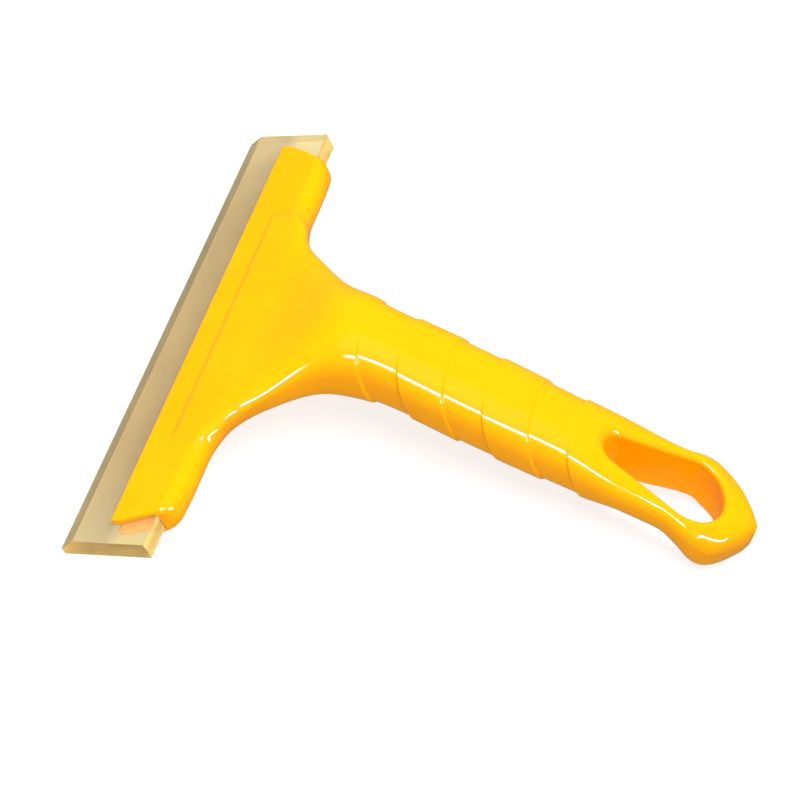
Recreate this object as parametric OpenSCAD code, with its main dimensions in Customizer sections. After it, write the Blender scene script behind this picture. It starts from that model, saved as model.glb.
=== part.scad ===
// Squeegee applicator: a clear flexible blade pushed into the slot of a one-piece T handle.
// The tool lies face up on its blade's working edge and on the end of its hang loop.
// +X runs from the blade to the hang loop, +Y along the blade, +Z up, z = 0 is the table.

/* [Blade] */
// Length of the blade
blade_length = 150; // [130:1:180]
// Width of the blade, from working edge to back edge
blade_width = 27; // [22.5:0.1:32.5]
// Thickness of the blade
blade_thickness = 5.6; // [4.5:0.1:7]
// How far the bevel on the upper side runs back
bevel_depth = 4.9; // [2:0.1:7]
// Height of the square part of the working edge, under the bevel
bevel_foot = 2.4; // [1:0.1:4]
// Width of blade that stands out in front of the head
blade_exposed = 15; // [9:0.5:18]
// Angle between the blade and the table
blade_pitch = 30; // [24:1:34]

/* [Head] */
// Length of the head, along its lips
head_length = 137.6; // [115:0.2:170]
// Thickness of each jaw beside the blade
jaw_thickness = 1.8; // [1.2:0.1:3]
// Wall behind the blade's back edge
back_wall = 5.4; // [4:0.1:8]
// Length of the square stretch at each end of a lip
lip_square = 2.5; // [0:0.5:5]
// Angle by which each end of the head slants inwards
end_slant = 20; // [0:1:30]
// Radius of the rear corners of the head
corner_radius = 7; // [3:0.5:10]
// Clearance between the blade and the slot, on each face
slot_clearance = 0.05; // [0.02:0.01:0.2]

/* [Neck] */
// Distance from the back of the head to the start of the grip
neck_length = 32; // [26:0.5:40]
// Width of the raised root of the neck on the head
root_width = 82; // [60:1:90]
// How far the root stands up from each jaw
root_raise = 0.5; // [0.2:0.1:1]
// Height of the middle of the neck at its crown
crown_height = 30; // [27:0.5:34]

/* [Grip] */
// Width of the grip
grip_width = 26; // [22:0.5:32]
// Height of the grip
grip_height = 21; // [17:0.5:25]
// Slope of the grip, down towards the loop
grip_slope = 10; // [7:0.5:13]
// Number of sunk bands around the grip
band_count = 3; // [2:1:4]
// Width of each sunk band
band_width = 12; // [8:0.5:16]
// Width of grip left standing between two bands
band_gap = 13; // [8:0.5:18]
// Depth of the bands on the sides of the grip
band_depth = 0.7; // [0.3:0.1:1.2]
// Depth of the bands on the top and underside of the grip
band_depth_top = 0.2; // [0.1:0.1:0.6]
// Angle by which the bands lean forward down the sides
band_lean = 27; // [0:1:32]

/* [Hang loop] */
// Length of the loop, from the end of the grip
loop_length = 52; // [43:0.2:62.4]
// Width of the loop across its shoulders
loop_width = 29; // [26:0.5:38]
// Height of the loop behind the hang hole
loop_height = 16.5; // [13:0.5:20]
// Length of the hang hole
hole_length = 33.5; // [26:0.5:38]
// Width of the hang hole at its wide end
hole_width = 18; // [13:0.2:21.6]
// Width of the hang hole at its narrow end
hole_neck_width = 6.5; // [5:0.5:10]
// Wall between the hang hole and the end of the loop
end_wall = 11; // [8:0.5:14]
// Angle by which the hang hole leans from upright
hole_lean = 13; // [0:1:15]
// Draft of the walls of the hang hole, which closes downwards
hole_draft = 8; // [0:1:8]

/* [Hidden] */

head_thickness = blade_thickness + 2 * jaw_thickness;
head_back = blade_width + back_wall;
head_middle = blade_thickness / 2;

// The origin is the middle of the tool's footprint: half its reach lies on each side
blade_nose = bevel_foot * sin(blade_pitch);
head_reach = head_back * cos(blade_pitch) - head_middle * sin(blade_pitch);
grip_length = band_count * band_width + (band_count - 1) * band_gap;
reach = blade_nose + head_reach + neck_length + grip_length + loop_length;
edge_x = blade_nose - reach / 2;

// Places children drawn in the blade's own plane: x across the blade, z through it
module in_blade_frame() {
    translate([edge_x, 0, 0]) rotate([0, -blade_pitch, 0]) children();
}

// A point of the blade's own plane, seen in the tool's frame
function from_blade(across, through) = [
    edge_x + across * cos(blade_pitch) - through * sin(blade_pitch),
    across * sin(blade_pitch) + through * cos(blade_pitch)
];

// ---- Loft: neck, grip and loop as one closed skin over a row of stations ----

back_point = from_blade(head_back, head_middle);
root_point = from_blade(blade_exposed + 5, head_middle);
grip_start = back_point[0] + neck_length;
grip_end = grip_start + grip_length;
loop_end = grip_end + loop_length;
root = root_width / 2;
root_thick = (head_thickness / 2 + root_raise) / cos(blade_pitch);
waist = grip_width / 2;
thick = grip_height / 2;
shoulder = loop_width / 2;
loop_thick = loop_height / 2;
grip_fall = grip_length * tan(grip_slope);

// Each station: place along x, height of its widest line, half width, height above and below
// that line, squareness of the upper and of the lower half
root_stations = [
    [root_point[0], root_point[1], root, root_thick, root_thick, 20, 9],
    let (middle = (root_point + back_point) / 2)
        [middle[0], middle[1], root, root_thick, root_thick, 14, 8],
    [back_point[0], back_point[1], root * 0.9, root_thick, root_thick, 4, 5],
];
// Along the neck: share of its length, height, half width, above, below, then squarenesses
neck_stations = [
    for (s = [
        [0.1, back_point[1] + 1.8, root * 0.76, root_thick * 1.03, root_thick * 1.08, 3.1, 4.5],
        [0.26, (back_point[1] + crown_height) / 2, root * 0.62, thick * 0.57, thick * 0.76, 2.6, 4],
        [0.59, crown_height - 1.4, root * 0.405, thick * 0.84, thick * 0.9, 2.5, 3.4],
        [0.9, crown_height, waist * 1.065, thick * 0.99, thick * 0.97, 2.55, 3.2]
    ])
        [back_point[0] + neck_length * s[0], s[1], s[2], s[3], s[4], s[5], s[6]]
];
// Along the grip, in shares: length, fall, half width, above, below
grip_stations = [
    for (s = [
        [0.11, 0, 0.985, 1.02, 1],
        [0.5, 0.39, 1.015, 1.02, 1],
        [1, 0.89, 0.98, 0.97, 0.95]
    ])
        [
            grip_start + grip_length * s[0],
            crown_height - 1 - grip_fall * s[1],
            waist * s[2],
            thick * s[3],
            thick * s[4],
            2.6,
            3.2 - 0.4 * s[0]
        ]
];
// Along the loop, all in shares: length, height, half width, above, below; then the squarenesses
loop_stations = [
    for (s = [
        [0.2, 1.08, 0.88, 0.94, 1.2, 2.9, 2.1],
        [0.38, 0.94, 0.86, 0.87, 1.2, 3.2, 1.8],
        [0.52, 0.87, 0.87, 0.79, 1.26, 3.2, 1.8],
        [0.62, 0.78, 0.96, 0.8, 1.2, 3.2, 2.2],
        [0.7, 0.64, 1, 0.87, 1.2, 3.2, 2.6],
        [0.76, 0.52, 0.97, 0.95, 1.03, 3, 3],
        [0.81, 0.45, 0.9, 0.95, 0.89, 3, 3],
        [0.87, 0.42, 0.73, 0.92, 0.83, 3, 3],
        [0.93, 0.41, 0.5, 0.83, 0.79, 2.6, 2.6],
        [0.97, 0.4, 0.33, 0.7, 0.7, 2.2, 2.2],
        [1, 0.4, 0.13, 0.52, 0.52, 2, 2]
    ])
        [
            grip_end + loop_length * s[0],
            loop_height * s[1],
            shoulder * s[2],
            loop_thick * s[3],
            loop_thick * s[4],
            s[5],
            s[6]
        ]
];
stations = concat(root_stations, neck_stations, grip_stations, loop_stations);
ring_spacing = 2.5;
section_points = 36;
// Length over which a band's edge steps down
band_edge = 0.5;

// Cubic through the stations, with each slope taken from its neighbours
function slope(i) =
    let (a = stations[max(i - 1, 0)], b = stations[min(i + 1, len(stations) - 1)])
    (b - a) / (b[0] - a[0]);
function span_of(x, i = 0) =
    i >= len(stations) - 2 || x < stations[i + 1][0] ? i : span_of(x, i + 1);
function station_at(x) =
    let (
        i = span_of(x),
        a = stations[i],
        b = stations[i + 1],
        span = b[0] - a[0],
        t = (x - a[0]) / span
    )
    (2 * t ^ 3 - 3 * t ^ 2 + 1) * a + (t ^ 3 - 2 * t ^ 2 + t) * span * slope(i)
    + (3 * t ^ 2 - 2 * t ^ 3) * b + (t ^ 3 - t ^ 2) * span * slope(i + 1);

function clamp01(t) = min(1, max(0, t));
// The lean grows from none at the head, holds along the grip and fades out before the hole
function lean_at(x) =
    tan(band_lean) * clamp01((x - back_point[0]) / neck_length)
    * clamp01((grip_end + loop_length * 0.5 - x) / (loop_length * 0.5));
function signed_power(v, e) = sign(v) * pow(abs(v), e);
// One closed section: a rounded rectangle drawn as a superellipse, in a leaning plane
function section(x, sunk) = [
    let (s = station_at(x), lean = lean_at(x))
    for (k = [0 : section_points - 1])
        let (
            a = 360 * (k + 0.5) / section_points,
            upper = sin(a) > 0,
            square = upper ? s[5] : s[6],
            height = upper ? s[3] : s[4],
            side = (s[2] - sunk * band_depth) * signed_power(cos(a), 2 / square),
            rise = (height - sunk * band_depth_top) * signed_power(sin(a), 2 / square)
        )
        [x - rise * lean, side, s[1] + rise]
];
// Even rings from one place up to, and without, another
function even_rings(from, to, sunk) =
    let (count = ceil((to - from) / ring_spacing))
    [for (i = [0 : count - 1]) section(from + (to - from) * i / count, sunk)];
function band_start(i) = grip_start + i * (band_width + band_gap);
rings = concat(
    even_rings(root_point[0], grip_start, 0),
    [
        for (i = [0 : band_count - 1])
            let (
                start = band_start(i),
                stop = start + band_width,
                next = i == band_count - 1 ? loop_end : band_start(i + 1)
            )
            each concat(
                [section(start, 0)],
                even_rings(start + band_edge, stop - band_edge, 1),
                [section(stop - band_edge, 1)],
                even_rings(stop, next, 0)
            )
    ],
    [section(loop_end, 0)]
);

module loft(rings) {
    count = len(rings[0]);
    last = len(rings) - 1;
    sides = [
        for (i = [0 : last - 1], k = [0 : count - 1])
            let (a = i * count + k, b = i * count + (k + 1) % count)
            each [[a, a + count, b], [b, a + count, b + count]]
    ];
    first_cap = [for (k = [0 : count - 1]) k];
    last_cap = [for (k = [count - 1 : -1 : 0]) last * count + k];
    polyhedron(
        points = [for (ring = rings) each ring],
        faces = concat([first_cap], sides, [last_cap]),
        convexity = 8
    );
}

// ---- Head: two jaws joined behind the blade ----

module head_side() {
    round_at = head_back - head_thickness / 2;
    translate([blade_exposed, -jaw_thickness])
        square([round_at - blade_exposed, head_thickness]);
    translate([round_at, head_middle])
        circle(d = head_thickness, $fn = 48);
}

// Outline of the head in the blade's plane; its rear corners are arcs
function corner_arc(side) =
    let (
        half = head_length / 2,
        turn = 90 - end_slant,
        run = blade_exposed + lip_square,
        // Centre of the corner: one radius in from the back and from the slanted end
        cx = head_back - corner_radius,
        cy = half - (cx - run) * tan(end_slant) - corner_radius / cos(end_slant)
    )
    [for (j = [0 : 8])
        let (a = turn * (1 - j / 8))
        [cx + corner_radius * cos(a), side * (cy + corner_radius * sin(a))]];

module head_plan() {
    half = head_length / 2;
    far = concat([[blade_exposed, half], [blade_exposed + lip_square, half]], corner_arc(1));
    near = concat([[blade_exposed, -half], [blade_exposed + lip_square, -half]], corner_arc(-1));
    reversed = [for (i = [len(near) - 1 : -1 : 0]) near[i]];
    polygon(concat(far, reversed));
}

module head() {
    in_blade_frame()
        intersection() {
            translate([0, head_length / 2, 0])
                rotate([90, 0, 0])
                    linear_extrude(head_length) head_side();
            translate([0, 0, -head_thickness])
                linear_extrude(3 * head_thickness) head_plan();
        }
}

// Room for the blade, open at the front and at both ends
module slot() {
    in_blade_frame()
        translate([0, -head_length, -slot_clearance])
            cube([blade_width + slot_clearance, 2 * head_length, blade_thickness + 2 * slot_clearance]);
}

// Hang hole: narrow towards the grip, wide towards the end. Its sizes hold at the loop's height,
// from where it leans forward and closes in downwards
module hang_hole() {
    hole_end = loop_end - end_wall;
    ends = [
        [hole_end - hole_width / 2, hole_width / 2],
        [hole_end - hole_length + hole_neck_width / 2, hole_neck_width / 2]
    ];
    hull()
        for (end = ends, drop = [-loop_height, loop_height + 1])
            translate([end[0] + drop * tan(hole_lean), 0, loop_height - drop])
                cylinder(r = max(end[1] - drop * tan(hole_draft), 0.5), h = 0.01, $fn = 32);
}

module handle() {
    color("gold")
        difference() {
            union() {
                head();
                loft(rings);
            }
            slot();
            hang_hole();
        }
}

module blade() {
    color([0.8, 0.7, 0.45])
        in_blade_frame()
            translate([0, blade_length / 2, 0])
                rotate([90, 0, 0])
                    linear_extrude(blade_length)
                        polygon([
                            [0, 0],
                            [blade_width, 0],
                            [blade_width, blade_thickness],
                            [bevel_depth, blade_thickness],
                            [0, bevel_foot],
                        ]);
}

handle();
blade();
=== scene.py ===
"""Squeegee applicator: a yellow moulded T handle holding a clear amber urethane blade."""
import math

import bpy
import numpy as np
from bpy.props import FloatProperty, FloatVectorProperty, PointerProperty
from mathutils import Matrix, Vector


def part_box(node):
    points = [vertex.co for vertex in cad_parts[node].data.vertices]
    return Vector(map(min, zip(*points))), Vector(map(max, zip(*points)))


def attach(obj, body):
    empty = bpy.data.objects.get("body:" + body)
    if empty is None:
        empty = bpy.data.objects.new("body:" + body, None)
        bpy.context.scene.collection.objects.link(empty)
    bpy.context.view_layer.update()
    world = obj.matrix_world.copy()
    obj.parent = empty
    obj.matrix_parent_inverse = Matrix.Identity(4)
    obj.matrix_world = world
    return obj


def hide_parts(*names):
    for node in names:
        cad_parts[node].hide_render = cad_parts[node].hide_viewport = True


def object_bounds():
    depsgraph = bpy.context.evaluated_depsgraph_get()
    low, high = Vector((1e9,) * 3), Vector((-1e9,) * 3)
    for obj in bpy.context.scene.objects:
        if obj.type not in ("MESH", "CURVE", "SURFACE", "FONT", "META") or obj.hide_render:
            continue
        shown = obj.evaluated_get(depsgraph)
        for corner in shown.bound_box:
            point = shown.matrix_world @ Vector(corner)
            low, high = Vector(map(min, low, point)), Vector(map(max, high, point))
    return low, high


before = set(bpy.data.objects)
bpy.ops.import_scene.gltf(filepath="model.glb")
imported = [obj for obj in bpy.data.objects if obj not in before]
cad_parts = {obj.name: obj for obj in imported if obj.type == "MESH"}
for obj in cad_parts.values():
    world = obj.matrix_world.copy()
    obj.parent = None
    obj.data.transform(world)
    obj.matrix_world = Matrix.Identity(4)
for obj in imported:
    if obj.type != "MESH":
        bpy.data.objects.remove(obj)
CAD_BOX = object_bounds()

bl_info = {
    "name": "Squeegee Applicator",
    "version": (1, 0, 0),
    "blender": (4, 5, 0),
    "location": "3D View > Sidebar > Squeegee",
    "description": "Builds the handle, the blade and the stage of a squeegee applicator",
    "category": "Add Mesh",
}

MM = 0.001

# ---- Sizes repeated from the part, in millimetres ----

PITCH = math.radians(30)
COS_PITCH, SIN_PITCH = math.cos(PITCH), math.sin(PITCH)

BLADE_WIDTH = 27.0
BLADE_THICKNESS = 5.6
BLADE_EXPOSED = 15.0
BEVEL_DEPTH = 4.9
BEVEL_FOOT = 2.4

HEAD_LENGTH = 137.6
JAW = 1.8
HEAD_BACK = BLADE_WIDTH + 5.4
LIP_SQUARE = 2.5
END_SLANT = math.radians(20)
REAR_CORNER = 7.0
SLOT_CLEARANCE = 0.05

NECK_LENGTH = 32.0
ROOT_HALF = 41.0
CROWN = 30.0
WAIST = 13.0
THICK = 10.5
GRIP_SLOPE = math.radians(10)
BAND_COUNT = 3
BAND_WIDTH = 12.0
BAND_GAP = 13.0
BAND_DEPTH = 0.7
BAND_DEPTH_TOP = 0.2
BAND_EDGE = 0.5
BAND_LEAN = math.radians(27)

LOOP_LENGTH = 52.0
SHOULDER = 14.5
LOOP_HEIGHT = 16.5
LOOP_THICK = LOOP_HEIGHT / 2
HOLE_LENGTH = 33.5
HOLE_WIDE = 9.0
HOLE_NARROW = 3.25
END_WALL = 11.0
HOLE_LEAN = math.radians(13)
HOLE_DRAFT = math.radians(8)

HEAD_MIDDLE = BLADE_THICKNESS / 2
HEAD_HALF = HEAD_MIDDLE + JAW
ROOT_THICK = (HEAD_HALF + 0.5) / COS_PITCH
GRIP_LENGTH = BAND_COUNT * BAND_WIDTH + (BAND_COUNT - 1) * BAND_GAP
GRIP_FALL = GRIP_LENGTH * math.tan(GRIP_SLOPE)

EDGE_X = CAD_BOX[0][0] / MM + BEVEL_FOOT * SIN_PITCH


def from_blade(across, through):
    """A point of the blade's own plane, as x and z of the tool."""
    return (
        EDGE_X + across * COS_PITCH - through * SIN_PITCH,
        across * SIN_PITCH + through * COS_PITCH,
    )


BACK_X, BACK_Z = from_blade(HEAD_BACK, HEAD_MIDDLE)
ROOT_X, ROOT_Z = from_blade(BLADE_EXPOSED + 5, HEAD_MIDDLE)
GRIP_START = BACK_X + NECK_LENGTH
GRIP_END = GRIP_START + GRIP_LENGTH
LOOP_END = GRIP_END + LOOP_LENGTH
HOLE_END = LOOP_END - END_WALL
# The jaws' slab runs on into the neck as far as this, to carry the fillet in the crook
WEB_END = HEAD_BACK + 12


# ---- Handle: one solid given by its distance field ----


def neck(share, height, half, above, below, upper, lower):
    return (BACK_X + NECK_LENGTH * share, height, half, above, below, upper, lower)


def grip(share, fall, half, above, below):
    return (
        GRIP_START + GRIP_LENGTH * share,
        CROWN - 1 - GRIP_FALL * fall,
        WAIST * half,
        THICK * above,
        THICK * below,
        2.6,
        3.2 - 0.4 * share,
    )


def loop(share, height, half, above, below, upper, lower):
    return (
        GRIP_END + LOOP_LENGTH * share,
        LOOP_HEIGHT * height,
        SHOULDER * half,
        LOOP_THICK * above,
        LOOP_THICK * below,
        upper,
        lower,
    )


# Place along x, height of the widest line, half width, height above and below that line,
# squareness of the upper and of the lower half
STATIONS = np.array(
    [
        (ROOT_X, ROOT_Z, ROOT_HALF, ROOT_THICK, ROOT_THICK, 20, 9),
        ((ROOT_X + BACK_X) / 2, (ROOT_Z + BACK_Z) / 2, ROOT_HALF, ROOT_THICK, ROOT_THICK, 14, 8),
        (BACK_X, BACK_Z, ROOT_HALF * 0.9, ROOT_THICK, ROOT_THICK, 4, 5),
        neck(0.1, BACK_Z + 1.8, ROOT_HALF * 0.76, ROOT_THICK * 1.03, ROOT_THICK * 1.08, 3.1, 4.5),
        neck(0.26, (BACK_Z + CROWN) / 2, ROOT_HALF * 0.62, THICK * 0.57, THICK * 0.76, 2.6, 4),
        neck(0.59, CROWN - 1.4, ROOT_HALF * 0.405, THICK * 0.84, THICK * 0.9, 2.5, 3.4),
        neck(0.9, CROWN, WAIST * 1.065, THICK * 0.99, THICK * 0.97, 2.55, 3.2),
        grip(0.11, 0, 0.985, 1.02, 1),
        grip(0.5, 0.39, 1.015, 1.02, 1),
        grip(1, 0.89, 0.98, 0.97, 0.95),
        loop(0.2, 1.08, 0.88, 0.94, 1.2, 2.9, 2.1),
        loop(0.38, 0.94, 0.86, 0.87, 1.2, 3.2, 1.8),
        loop(0.52, 0.87, 0.87, 0.79, 1.26, 3.2, 1.8),
        loop(0.62, 0.78, 0.96, 0.8, 1.2, 3.2, 2.2),
        loop(0.7, 0.64, 1, 0.87, 1.2, 3.2, 2.6),
        loop(0.76, 0.52, 0.97, 0.95, 1.03, 3, 3),
        loop(0.81, 0.45, 0.9, 0.95, 0.89, 3, 3),
        loop(0.87, 0.42, 0.73, 0.92, 0.83, 3, 3),
        loop(0.93, 0.41, 0.5, 0.83, 0.79, 2.6, 2.6),
        loop(0.97, 0.4, 0.33, 0.7, 0.7, 2.2, 2.2),
        loop(1, 0.4, 0.13, 0.52, 0.52, 2, 2),
    ]
)


def cubic_rows(places):
    """The stations' values at each place: a cubic through them, slopes from their neighbours."""
    xs = STATIONS[:, 0]
    before = np.maximum(np.arange(len(xs)) - 1, 0)
    after = np.minimum(np.arange(len(xs)) + 1, len(xs) - 1)
    slopes = (STATIONS[after] - STATIONS[before]) / (xs[after] - xs[before])[:, None]
    i = np.clip(np.searchsorted(xs, places, side="right") - 1, 0, len(xs) - 2)
    span = (xs[i + 1] - xs[i])[:, None]
    t = (places - xs[i])[:, None] / span
    return (
        (2 * t**3 - 3 * t**2 + 1) * STATIONS[i]
        + (t**3 - 2 * t**2 + t) * span * slopes[i]
        + (3 * t**2 - 2 * t**3) * STATIONS[i + 1]
        + (t**3 - t**2) * span * slopes[i + 1]
    )


TABLE_X = np.linspace(ROOT_X, LOOP_END, 3400)
TABLE = cubic_rows(TABLE_X)


def section_at(s):
    """Half width, heights above and below and squarenesses of the section at s."""
    return [np.interp(s, TABLE_X, TABLE[:, column]) for column in range(2, 7)]


def middle_at(s):
    """Height of the widest line; in front of the root it goes on down the blade's slope."""
    ahead = np.minimum(s - ROOT_X, 0) * math.tan(PITCH)
    return np.interp(s, TABLE_X, TABLE[:, 1]) + ahead


def lean_at(s):
    grown = np.clip((s - BACK_X) / NECK_LENGTH, 0, 1)
    left = np.clip((GRIP_END + LOOP_LENGTH / 2 - s) / (LOOP_LENGTH / 2), 0, 1)
    return math.tan(BAND_LEAN) * grown * left


def sunk_at(s):
    """1 in a band, 0 between bands, with a short ramp at each edge."""
    sunk = np.zeros_like(s)
    for i in range(BAND_COUNT):
        start = GRIP_START + i * (BAND_WIDTH + BAND_GAP)
        ramp = np.minimum(s - start, start + BAND_WIDTH - s) / BAND_EDGE
        sunk = np.maximum(sunk, np.clip(ramp, 0, 1))
    return sunk


def along_of(x, z):
    """The station whose leaning section passes through x, z."""
    s = x
    for _ in range(8):
        s = x + (z - middle_at(s)) * lean_at(s)
    return s


def round_max(a, b, radius):
    """Intersection of two fields, with the edge between them rounded."""
    corner = np.hypot(np.maximum(a + radius, 0), np.maximum(b + radius, 0))
    return np.minimum(np.maximum(a, b), -radius) + corner


def soft_min(a, b, reach):
    """Union of two fields, with a fillet in the corner between them."""
    near = np.maximum(reach - np.abs(a - b), 0) / reach
    return np.minimum(a, b) - near * near * reach / 4


def smooth_step(t):
    t = np.clip(t, 0, 1)
    return t * t * (3 - 2 * t)


# The head's ends: how gently the rear corner's skin fades out, where their rounding starts and
# ends growing across the blade, and its share at the lips
CORNER_EASE = 10
END_GROWS = 22
END_GROWTH = 8
END_AT_LIPS = 0.15


def head_field(u, y, v, neck_side, sizes):
    """The two jaws and their full-round back, u across the blade and v through it."""
    back = soft_min(u - HEAD_BACK, np.maximum(neck_side, u - WEB_END), sizes.crook_fillet)
    side = np.hypot(np.maximum(back + HEAD_HALF, 0), v - HEAD_MIDDLE) - HEAD_HALF
    side = round_max(side, BLADE_EXPOSED - u, sizes.lip_round)
    half = HEAD_LENGTH / 2
    run = BLADE_EXPOSED + LIP_SQUARE
    centre_u = HEAD_BACK - REAR_CORNER
    centre_y = (
        half - (centre_u - run) * math.tan(END_SLANT) - REAR_CORNER / math.cos(END_SLANT)
    )
    slant = (np.abs(y) - half + (u - run) * math.tan(END_SLANT)) * math.cos(END_SLANT)
    du, dy = u - centre_u, np.abs(y) - centre_y
    in_corner = (dy > 0) & (du * math.cos(END_SLANT) > dy * math.sin(END_SLANT))
    inner = np.maximum(slant, du - REAR_CORNER - np.minimum(dy, 0) ** 2 / CORNER_EASE)
    plan = np.where(in_corner, np.hypot(du, dy) - REAR_CORNER, inner)
    plan = np.maximum(plan, np.abs(y) - half)
    grown = smooth_step((u - END_GROWS) / END_GROWTH)
    end_round = sizes.end_round * (END_AT_LIPS + (1 - END_AT_LIPS) * grown)
    return round_max(side, plan, end_round)


def loft_field(s, y, r):
    """Neck, grip and loop: a rounded rectangle whose size changes along s."""
    half, above, below, upper, lower = section_at(s)
    sunk = sunk_at(s)
    up = r > 0
    height = np.where(up, above, below) - sunk * BAND_DEPTH_TOP
    width = half - sunk * BAND_DEPTH
    square = np.where(up, upper, lower)
    a = np.abs(y) / width + 1e-6
    b = np.abs(r) / height + 1e-6
    total = a**square + b**square
    size = total ** (1 / square)
    climb = size / total * np.hypot(a ** (square - 1) / width, b ** (square - 1) / height)
    side = (size - 1) / np.maximum(climb, 0.02)
    return np.maximum(round_max(side, ROOT_X - s, 0.6), s - LOOP_END)


def hole_field(x, y, z):
    """The leaning, drafted hang hole, wide at its far end."""
    drop = LOOP_HEIGHT - z
    shift = drop * math.tan(HOLE_LEAN)
    shrink = drop * math.tan(HOLE_DRAFT)
    wide = np.maximum(HOLE_WIDE - shrink, 0.6)
    narrow = np.maximum(HOLE_NARROW - shrink, 0.5)
    back = HOLE_END - HOLE_WIDE + shift - x
    span = HOLE_LENGTH - HOLE_WIDE - HOLE_NARROW
    sine = (wide - narrow) / span
    cosine = np.sqrt(1 - sine * sine)
    side = np.abs(y)
    along = back * cosine - side * sine
    return np.where(
        along < 0,
        np.hypot(side, back) - wide,
        np.where(
            along > cosine * span,
            np.hypot(side, back - span) - narrow,
            side * cosine + back * sine - wide,
        ),
    )


# Where the root panel meets the head it blends over JOIN_REACH, and over JOIN_CORNER more towards
# its corners: CORNER_SIDE out from the middle and CORNER_BACK across the blade
JOIN_REACH = 1
JOIN_CORNER = 1.6
CORNER_SIDE, SIDE_GROWTH = 33, 6
CORNER_BACK, BACK_GROWTH = 25, 7


def handle_field(x, y, z, sizes, s=None):
    """Less than 0 inside the handle, more outside, in millimetres."""
    if s is None:
        s = along_of(x, z)
    u = (x - EDGE_X) * COS_PITCH + z * SIN_PITCH
    v = z * COS_PITCH - (x - EDGE_X) * SIN_PITCH
    r = z - middle_at(s)
    neck_side = np.abs(y) - np.interp(s, TABLE_X, TABLE[:, 2]) + 1
    corner = smooth_step((np.abs(y) - CORNER_SIDE) / SIDE_GROWTH)
    corner = corner * smooth_step((u - CORNER_BACK) / BACK_GROWTH)
    body = soft_min(
        head_field(u, y, v, neck_side, sizes),
        loft_field(s, y, r),
        JOIN_REACH + JOIN_CORNER * corner,
    )
    rim = np.where(r > 0, sizes.rim_round, 0.4 * sizes.rim_round)
    body = round_max(body, -hole_field(x, y, z), rim)
    slot = np.maximum(
        u - BLADE_WIDTH - SLOT_CLEARANCE, np.abs(v - HEAD_MIDDLE) - HEAD_MIDDLE - SLOT_CLEARANCE
    )
    return round_max(body, -slot, sizes.slot_round)


def surface_net(field):
    """Corner places, in grid steps, and four-sided faces of the surface where the field is 0."""
    cells = np.array(field.shape) - 1
    faces, places, owners = [], [], []
    for axis in range(3):
        a, b = (axis + 1) % 3, (axis + 2) % 3
        low = np.take(field, range(field.shape[axis] - 1), axis)
        high = np.take(field, range(1, field.shape[axis]), axis)
        crossed = (low < 0) != (high < 0)
        start = np.argwhere(crossed)
        low, high = low[crossed], high[crossed]
        place = start.astype(float)
        place[:, axis] += low / (low - high)
        ring = []
        for step_a, step_b in ((0, 0), (1, 0), (1, 1), (0, 1)):
            cell = start.copy()
            cell[:, a] -= step_a
            cell[:, b] -= step_b
            ring.append((cell[:, 0] * cells[1] + cell[:, 1]) * cells[2] + cell[:, 2])
        ring = np.stack(ring, 1)
        faces.append(np.where((low < 0)[:, None], ring, ring[:, ::-1]))
        places.append(np.repeat(place, 4, 0))
        owners.append(ring.ravel())
    used, faces = np.unique(np.concatenate(faces), return_inverse=True)
    faces = faces.reshape(-1, 4)
    owners = np.searchsorted(used, np.concatenate(owners))
    places = np.concatenate(places)
    count = np.bincount(owners)
    corners = np.stack([np.bincount(owners, places[:, k]) / count for k in range(3)], 1)
    return corners, faces


def settle(points, field, rounds=3):
    """Moves points onto the surface of a field; also gives the way out at each."""
    probe = 0.04
    for turn in range(rounds + 1):
        value = field(*points.T)
        grad = np.stack(
            [
                (field(*(points + probe * way).T) - field(*(points - probe * way).T)) / (2 * probe)
                for way in np.eye(3)
            ],
            1,
        )
        steep = np.maximum((grad**2).sum(1), 0.05)
        if turn < rounds:
            step = grad * (value / steep)[:, None]
            length = np.linalg.norm(step, axis=1)
            points = points - step * np.minimum(1, 0.35 / np.maximum(length, 1e-9))[:, None]
    return points, grad / np.linalg.norm(grad, axis=1)[:, None]


def handle_mesh(sizes):
    """Corners in metres, faces and outward directions of the whole handle."""
    step = sizes.detail * 1
    first = GRIP_START - math.ceil((GRIP_START - EDGE_X - 7) / step) * step
    s = np.arange(first, LOOP_END + 3 * step, step)
    half = np.arange(step / 2, HEAD_LENGTH / 2 + 2 * step, step)
    r = np.arange(-12.5, 12.5 + step, step)
    at, high = s[:, None, None], r[None, None, :]
    x, z = at - high * lean_at(at), middle_at(at) + high
    field = handle_field(x, half[None, :, None], z, sizes, at)
    corners, faces = surface_net(np.concatenate([field[:, ::-1], field], 1))
    along = s[0] + corners[:, 0] * step
    across = (corners[:, 1] - len(half) + 0.5) * step
    rise = r[0] + corners[:, 2] * step
    points = np.stack(
        [along - rise * lean_at(along), across, middle_at(along) + rise], 1
    )
    points, outward = settle(points, lambda px, py, pz: handle_field(px, py, pz, sizes))
    return np.clip(points * MM, *CAD_BOX), faces, outward


# ---- Materials ----


class Sum:
    """A value socket that takes part in plain arithmetic by adding Math nodes."""

    def __init__(self, shader, socket):
        self.shader, self.socket = shader, socket

    def _math(self, operation, first, second):
        return self.shader.node(
            "ShaderNodeMath", {"operation": operation}, {0: first, 1: second}
        )

    def __add__(self, other):
        return self._math("ADD", self, other)

    __radd__ = __add__

    def __sub__(self, other):
        return self._math("SUBTRACT", self, other)

    def __rsub__(self, other):
        return self._math("SUBTRACT", other, self)

    def __mul__(self, other):
        return self._math("MULTIPLY", self, other)

    __rmul__ = __mul__


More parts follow.
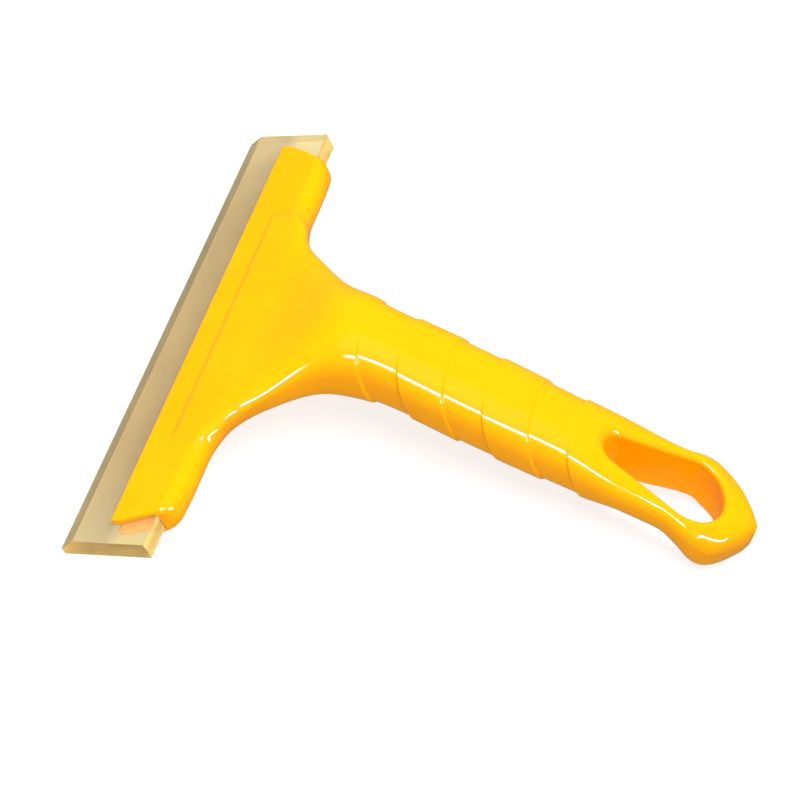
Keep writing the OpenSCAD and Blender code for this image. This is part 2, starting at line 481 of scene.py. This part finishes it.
class Shader:
    """A material's node tree, with one method for any node."""

    def __init__(self, name):
        self.material = bpy.data.materials.new(name)
        self.material.use_nodes = True
        self.tree = self.material.node_tree
        self.tree.nodes.clear()

    def node(self, kind, settings=None, values=None, output=0):
        made = self.tree.nodes.new(kind)
        for name, value in (settings or {}).items():
            if name == "stops":
                ramp = made.color_ramp
                while len(ramp.elements) < len(value):
                    ramp.elements.new(0.5)
                for element, (place, colour) in zip(ramp.elements, value):
                    element.position, element.color = place, colour
            else:
                setattr(made, name, value)
        for name, value in (values or {}).items():
            if isinstance(value, Sum):
                self.tree.links.new(value.socket, made.inputs[name])
            else:
                made.inputs[name].default_value = value
        return Sum(self, made.outputs[output])

    def noise(self, scale, detail=2.0, roughness=0.5, where=None):
        values = {"Scale": scale, "Detail": detail, "Roughness": roughness}
        if where is not None:
            values["Vector"] = where
        return self.node("ShaderNodeTexNoise", None, values)

    def ramp(self, value, stops):
        grey = [(place, (level, level, level, 1)) for place, level in stops]
        return self.node("ShaderNodeValToRGB", {"stops": grey}, {0: value})

    def mix(self, share, first, second):
        """A colour between two, by a share from 0 to 1."""
        return self.node(
            "ShaderNodeMix", {"data_type": "RGBA"}, {0: share, 6: first, 7: second}, output=2
        )

    def bump(self, height, distance, strength=1.0):
        return self.node(
            "ShaderNodeBump", None, {"Strength": strength, "Distance": distance, "Height": height}
        )

    def finish(self, surface, volume=None):
        values = {"Surface": surface}
        if volume is not None:
            values["Volume"] = volume
        out = self.tree.nodes.new("ShaderNodeOutputMaterial")
        for name, value in values.items():
            self.tree.links.new(value.socket, out.inputs[name])
        return self.material


def moulded_plastic(look):
    """Glossy injection moulded plastic: faint flow marks, orange peel, rubbed edges, hairlines."""
    sh = Shader("handle_plastic")
    place = sh.node("ShaderNodeTexCoord", output=3)
    flow = sh.node(
        "ShaderNodeVectorMath",
        {"operation": "MULTIPLY"},
        {0: place, 1: (22, 60, 60)},
    )
    marks = sh.noise(1.0, 3, 0.55, flow)
    peel = sh.noise(900, 1, 0.5, place)
    smudge = sh.noise(70, 4, 0.6, place)
    scratch_way = sh.node(
        "ShaderNodeVectorMath", {"operation": "MULTIPLY"}, {0: place, 1: (90, 1400, 1400)}
    )
    scratches = sh.ramp(sh.noise(1.0, 2, 0.5, scratch_way), [(0.66, 0), (0.72, 1)])
    worn = sh.ramp(sh.node("ShaderNodeNewGeometry", output=7), [(0.53, 0), (0.62, 1)])
    base = tuple(look.plastic) + (1,)
    deep = (look.plastic[0] * 0.97, look.plastic[1] * 0.93, look.plastic[2], 1)
    pale = (1, look.plastic[1] * 1.12, look.plastic[2] + 0.02, 1)
    colour = sh.mix(sh.ramp(marks, [(0.35, 0), (0.7, 1)]), base, deep)
    colour = sh.mix(worn * 0.4, colour, pale)
    roughness = look.plastic_roughness + smudge * 0.06 + scratches * 0.1 + worn * 0.05
    height = marks * 0.5 + peel * 0.06 - scratches * 0.05
    surface = sh.node(
        "ShaderNodeBsdfPrincipled",
        None,
        {
            "Base Color": colour,
            "Roughness": roughness,
            "IOR": 1.5,
            "Specular IOR Level": 0.3,
            "Normal": sh.bump(height, 0.00012, 0.5),
        },
    )
    return sh.finish(surface)


# Which way the blade's bevel faces; the face turned this way gets painted shade
BEVEL_WAY = (-0.892, 0, 0.451)


def clear_urethane(look):
    """Cast clear amber urethane: knife marks on the cut ends, faint ripples and fingermarks.
    Outside the slot its colour is darker and its bevel darker still, as painted shade; towards its
    ends it is paler, as painted light; its cut ends and rear edge are painted amber as a painted
    glow of light carried through it.
    """
    sh = Shader("blade_urethane")
    place = sh.node("ShaderNodeTexCoord", output=3)
    ripple = sh.noise(60, 2, 0.5, place)
    smudge = sh.ramp(sh.noise(45, 5, 0.6, place), [(0.45, 0), (0.75, 1)])
    cut_way = sh.node(
        "ShaderNodeVectorMath", {"operation": "MULTIPLY"}, {0: place, 1: (260, 20, 900)}
    )
    cut = sh.noise(1.0, 3, 0.6, cut_way)
    normal = sh.node("ShaderNodeNewGeometry", output=1)
    # The cut ends, faces along y, get the amber edge colour as a painted glow of light carried
    # through the urethane; they also carry real knife marks
    facing = sh.node("ShaderNodeSeparateXYZ", None, {0: normal}, 1)
    ends = sh.node("ShaderNodeMath", {"operation": "ABSOLUTE"}, {0: facing})
    ends = sh.ramp(ends, [(0.7, 0), (0.9, 1)])
    # The rear edge also gets the amber edge colour as a painted glow
    rear_way = sh.node(
        "ShaderNodeVectorMath",
        {"operation": "DOT_PRODUCT"},
        {0: normal, 1: (COS_PITCH, 0, SIN_PITCH)},
        1,
    )
    rear = sh.ramp(rear_way, [(0.7, 0), (0.9, 1)])
    # Painted light: the blade grows paler towards its ends, as if the floor seen through it there
    # lay in light
    span = sh.node("ShaderNodeSeparateXYZ", None, {0: place}, 1)
    span = sh.node("ShaderNodeMath", {"operation": "ABSOLUTE"}, {0: span})
    pale = sh.ramp(span * 10, [(0.45, 0), (0.74, 1)])
    # Between the jaws the blade takes its paler clear tint; outside the slot it keeps the darker
    # blade colour, painted shade standing in for the shaded floor seen through it
    across = sh.node(
        "ShaderNodeVectorMath",
        {"operation": "DOT_PRODUCT"},
        {0: place, 1: (COS_PITCH, 0, SIN_PITCH)},
        1,
    )
    mouth = BLADE_EXPOSED / 100
    in_slot = sh.ramp(
        (across - EDGE_X * MM * COS_PITCH) * 10, [(mouth, 0), (mouth + 0.015, 1)]
    )
    # Painted shade: the bevel face is coloured darker, standing in for shade seen through it
    bevel_way = sh.node(
        "ShaderNodeVectorMath",
        {"operation": "DOT_PRODUCT"},
        {0: normal, 1: BEVEL_WAY},
        1,
    )
    bevel = sh.ramp(bevel_way, [(0.9, 0), (0.98, 1)])
    colour = sh.mix(pale * 0.35, tuple(look.blade) + (1,), tuple(look.blade_lit_ends) + (1,))
    colour = sh.mix(in_slot, colour, tuple(look.blade_clear) + (1,))
    colour = sh.mix(bevel, colour, tuple(look.blade_bevel_shade) + (1,))
    # Fingermarks tint a little towards the amber edge colour; the rear edge and cut ends take it
    # fully as a painted glow
    colour = sh.mix(smudge * 0.15, colour, tuple(look.blade_smudge_and_edge_glow) + (1,))
    colour = sh.mix(rear, colour, tuple(look.blade_smudge_and_edge_glow) + (1,))
    colour = sh.mix(ends * (1 - cut * 0.3), colour, tuple(look.blade_smudge_and_edge_glow) + (1,))
    roughness = look.blade_roughness + smudge * 0.05 + ends * cut * 0.12
    height = ripple * 0.3 + ends * cut * 0.8
    surface = sh.node(
        "ShaderNodeBsdfPrincipled",
        None,
        {
            "Base Color": colour,
            "Roughness": roughness,
            "IOR": 1.5,
            "Transmission Weight": 0.8,
            "Normal": sh.bump(height, 0.0003, 0.3),
        },
    )
    lamp_ray = sh.node("ShaderNodeLightPath", output=1)
    let_through = sh.node("ShaderNodeBsdfTransparent", None, {0: (1, 0.92, 0.65, 1)})
    surface = sh.node("ShaderNodeMixShader", None, {0: lamp_ray, 1: surface, 2: let_through})
    inside = sh.node(
        "ShaderNodeVolumeAbsorption",
        None,
        {"Color": (0.8, 0.62, 0.3, 1), "Density": look.blade_density},
    )
    return sh.finish(surface, inside)


def floor_paper(look):
    """Pale seamless paper."""
    sh = Shader("floor_paper")
    place = sh.node("ShaderNodeTexCoord", output=3)
    fibre = sh.noise(300, 3, 0.6, place)
    surface = sh.node(
        "ShaderNodeBsdfPrincipled",
        None,
        {
            "Base Color": tuple(look.floor) + (1,),
            "Roughness": fibre * 0.1 + 0.8,
            "Specular IOR Level": 0.1,
            "Emission Color": (1, 1, 1, 1),
            "Emission Strength": 0.8,
        },
    )
    return sh.finish(surface)


# ---- Sizes and looks that a user may change ----


class HandleSizes(bpy.types.PropertyGroup):
    """Roundings of the moulded handle, in millimetres."""

    detail: FloatProperty(
        name="Detail", description="Spacing of the mesh, in mm", default=0.5, min=0.25, max=2
    )
    lip_round: FloatProperty(
        name="Lip Rounding",
        description="Radius of the lips' outer edges, in mm",
        default=0.4,
    )
    end_round: FloatProperty(
        name="End Rounding",
        description="Radius of the edges of the head's ends, in mm",
        default=2.2,
    )
    slot_round: FloatProperty(
        name="Slot Rounding",
        description="Radius of the slot's edges, in mm",
        default=0.25,
    )
    crook_fillet: FloatProperty(
        name="Crook Fillet",
        description="Reach of the fillet between head and neck, in mm",
        default=9,
    )
    rim_round: FloatProperty(
        name="Hole Rim Rounding",
        description="Radius of the hang hole's upper rim, in mm",
        default=2.3,
    )


class BladeSizes(bpy.types.PropertyGroup):
    """Edges of the blade."""

    edge_round: FloatProperty(
        name="Edge Rounding",
        description="Radius of the blade's edges, in mm",
        default=0.18,
    )


class ToolLook(bpy.types.PropertyGroup):
    """Colours and finishes."""

    plastic: FloatVectorProperty(
        name="Plastic",
        description="Colour of the handle",
        subtype="COLOR",
        size=3,
        default=(0.96, 0.385, 0.0),
    )
    plastic_roughness: FloatProperty(
        name="Plastic Roughness",
        description="Roughness of the handle",
        default=0.07,
    )
    # Painted shade: the blade's colour outside the slot is darkened as if the floor seen through
    # it lay in shade
    blade: FloatVectorProperty(
        name="Urethane",
        description="Colour of the blade",
        subtype="COLOR",
        size=3,
        default=(0.45, 0.36, 0.21),
    )
    # Painted light: paler colour towards the blade's ends, standing in for brighter floor seen
    # through it
    blade_lit_ends: FloatVectorProperty(
        name="Urethane near the Ends",
        description="Colour of the blade towards its ends",
        subtype="COLOR",
        size=3,
        default=(0.62, 0.60, 0.44),
    )
    blade_clear: FloatVectorProperty(
        name="Urethane in the Slot",
        description="Colour of the blade between the jaws",
        subtype="COLOR",
        size=3,
        default=(0.66, 0.59, 0.34),
    )
    # Painted shade: darker colour of the bevel face
    blade_bevel_shade: FloatVectorProperty(
        name="Urethane Bevel",
        description="Colour of the blade's bevel",
        subtype="COLOR",
        size=3,
        default=(0.31, 0.25, 0.13),
    )
    # Amber of the cut ends and rear edge, a painted glow of light carried through the urethane;
    # fingermarks also tint towards it
    blade_smudge_and_edge_glow: FloatVectorProperty(
        name="Urethane Edges",
        description="Colour of the blade's cut ends and rear edge",
        subtype="COLOR",
        size=3,
        default=(1, 0.76, 0.32),
    )
    blade_density: FloatProperty(
        name="Urethane Density",
        description="How strongly the blade tints light, per metre",
        default=20,
    )
    blade_roughness: FloatProperty(
        name="Urethane Roughness",
        description="Roughness of the blade",
        default=0.04,
    )
    floor: FloatVectorProperty(
        name="Floor",
        description="Colour of the floor",
        subtype="COLOR",
        size=3,
        default=(0.2, 0.2, 0.2),
    )


# ---- Operators ----


def add_object(name, points, faces, material, outward=None):
    mesh = bpy.data.meshes.new(name)
    sides = faces.tolist() if hasattr(faces, "tolist") else faces
    mesh.from_pydata([tuple(p) for p in points.tolist()], [], sides)
    mesh.materials.append(material)
    mesh.polygons.foreach_set("use_smooth", [True] * len(mesh.polygons))
    if outward is not None:
        mesh.normals_split_custom_set_from_vertices(outward.tolist())
    mesh.update()
    made = bpy.data.objects.new(name, mesh)
    bpy.context.scene.collection.objects.link(made)
    return made


class SQUEEGEE_OT_handle(bpy.types.Operator):
    """Build the one-piece moulded handle"""

    bl_idname = "squeegee.handle"
    bl_label = "Handle"

    def execute(self, context):
        scene = context.scene
        points, faces, outward = handle_mesh(scene.squeegee_handle)
        plastic = moulded_plastic(scene.squeegee_look)
        shell = add_object("handle_shell", points, faces, plastic, outward)
        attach(shell, "handle")
        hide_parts("handle")
        return {"FINISHED"}


class SQUEEGEE_OT_blade(bpy.types.Operator):
    """Build the clear urethane blade"""

    bl_idname = "squeegee.blade"
    bl_label = "Blade"

    def execute(self, context):
        scene = context.scene
        low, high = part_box("blade")
        outline = [
            (0, 0),
            (BLADE_WIDTH, 0),
            (BLADE_WIDTH, BLADE_THICKNESS),
            (BEVEL_DEPTH, BLADE_THICKNESS),
            (0, BEVEL_FOOT),
        ]
        ring = [from_blade(*point) for point in outline]
        points = np.array(
            [(x * MM, y, z * MM) for y in (low[1], high[1]) for x, z in ring]
        )
        count = len(ring)
        faces = [tuple(range(count)), tuple(range(2 * count - 1, count - 1, -1))]
        faces += [(i, i + count, (i + 1) % count + count, (i + 1) % count) for i in range(count)]
        strip = add_object("blade_strip", points, faces, clear_urethane(scene.squeegee_look))
        bevel = strip.modifiers.new("edges", "BEVEL")
        bevel.width = scene.squeegee_blade.edge_round * MM
        bevel.segments = 3
        bevel.limit_method = "NONE"
        bevel.harden_normals = True
        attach(strip, "blade")
        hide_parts("blade")
        return {"FINISHED"}


def area_light(name, place, aim, width, length, power):
    lamp = bpy.data.lights.new(name, "AREA")
    lamp.shape = "RECTANGLE"
    lamp.size, lamp.size_y = width, length
    lamp.energy = power
    made = bpy.data.objects.new(name, lamp)
    made.location = place
    aimed = (Vector(aim) - Vector(place)).to_track_quat("-Z", "Y")
    made.rotation_euler = aimed.to_euler()
    bpy.context.scene.collection.objects.link(made)
    return made


# The camera: where it looks, from what bearing, height and distance, and how far it is rolled
AIM = Vector((-17.99, 7.62, 0)) * MM
BEARING = math.radians(4.676)
HEIGHT = math.radians(55.415)
DISTANCE = 720.8 * MM
ROLL = math.radians(15.770)
LENS = 115.1


class SQUEEGEE_OT_stage(bpy.types.Operator):
    """Lay the floor and set the lights and the camera"""

    bl_idname = "squeegee.stage"
    bl_label = "Stage"

    def execute(self, context):
        scene = context.scene
        look = scene.squeegee_look
        reach = 12.0
        corners = np.array(
            [(-reach, -reach, 0), (reach, -reach, 0), (reach, reach, 0), (-reach, reach, 0)]
        )
        floor = add_object("floor", corners, [(0, 1, 2, 3)], floor_paper(look))
        floor.location.z = -0.0002
        floor.visible_glossy = False

        world = bpy.data.worlds.new("studio")
        scene.world = world
        world.use_nodes = True
        background = world.node_tree.nodes["Background"]
        background.inputs["Color"].default_value = (1, 1, 1, 1)
        background.inputs["Strength"].default_value = 0.22

        overhead = area_light("overhead", (0, -0.05, 1.1), (0, 0, 0), 1.0, 0.9, 26)
        overhead.visible_glossy = False
        strips = (
            area_light("side_strip", (0.25, -0.8, 0.96), (0, 0, 0.02), 0.7, 0.05, 28),
            area_light("end_strip", (0.9, -0.35, 0.47), (-0.05, -0.03, 0.02), 0.35, 0.06, 11),
        )
        for strip in strips:
            strip.visible_diffuse = False

        lens = bpy.data.cameras.new("camera")
        lens.lens = LENS
        lens.sensor_width = 36
        camera = bpy.data.objects.new("camera", lens)
        back = Vector(
            (
                math.sin(BEARING) * math.cos(HEIGHT),
                -math.cos(BEARING) * math.cos(HEIGHT),
                math.sin(HEIGHT),
            )
        )
        right = Vector((math.cos(BEARING), math.sin(BEARING), 0))
        turned = Matrix((right, back.cross(right), back)).transposed()
        turned = turned @ Matrix.Rotation(ROLL, 3, "Z")
        camera.matrix_world = Matrix.Translation(AIM + DISTANCE * back) @ turned.to_4x4()
        scene.collection.objects.link(camera)
        scene.camera = camera
        scene.view_settings.view_transform = "Standard"
        return {"FINISHED"}


class SQUEEGEE_PT_panel(bpy.types.Panel):
    """Lists the tool's builders, sizes and looks"""

    bl_idname = "SQUEEGEE_PT_panel"
    bl_label = "Squeegee Applicator"
    bl_space_type = "VIEW_3D"
    bl_region_type = "UI"
    bl_category = "Squeegee"

    def draw(self, context):
        for group in ("squeegee_handle", "squeegee_blade", "squeegee_look"):
            sizes = getattr(context.scene, group)
            for name in sizes.__annotations__:
                self.layout.prop(sizes, name)
        for operator in OPERATORS:
            self.layout.operator(operator.bl_idname)


GROUPS = {"squeegee_handle": HandleSizes, "squeegee_blade": BladeSizes, "squeegee_look": ToolLook}
OPERATORS = (SQUEEGEE_OT_handle, SQUEEGEE_OT_blade, SQUEEGEE_OT_stage)
CLASSES = tuple(GROUPS.values()) + OPERATORS + (SQUEEGEE_PT_panel,)


def register():
    for made in CLASSES:
        bpy.utils.register_class(made)
    for name, group in GROUPS.items():
        setattr(bpy.types.Scene, name, PointerProperty(type=group))


def unregister():
    for name in GROUPS:
        delattr(bpy.types.Scene, name)
    for made in reversed(CLASSES):
        bpy.utils.unregister_class(made)


def main():
    register()
    bpy.ops.squeegee.handle()
    bpy.ops.squeegee.blade()
    bpy.ops.squeegee.stage()


if __name__ == "__main__":
    main()
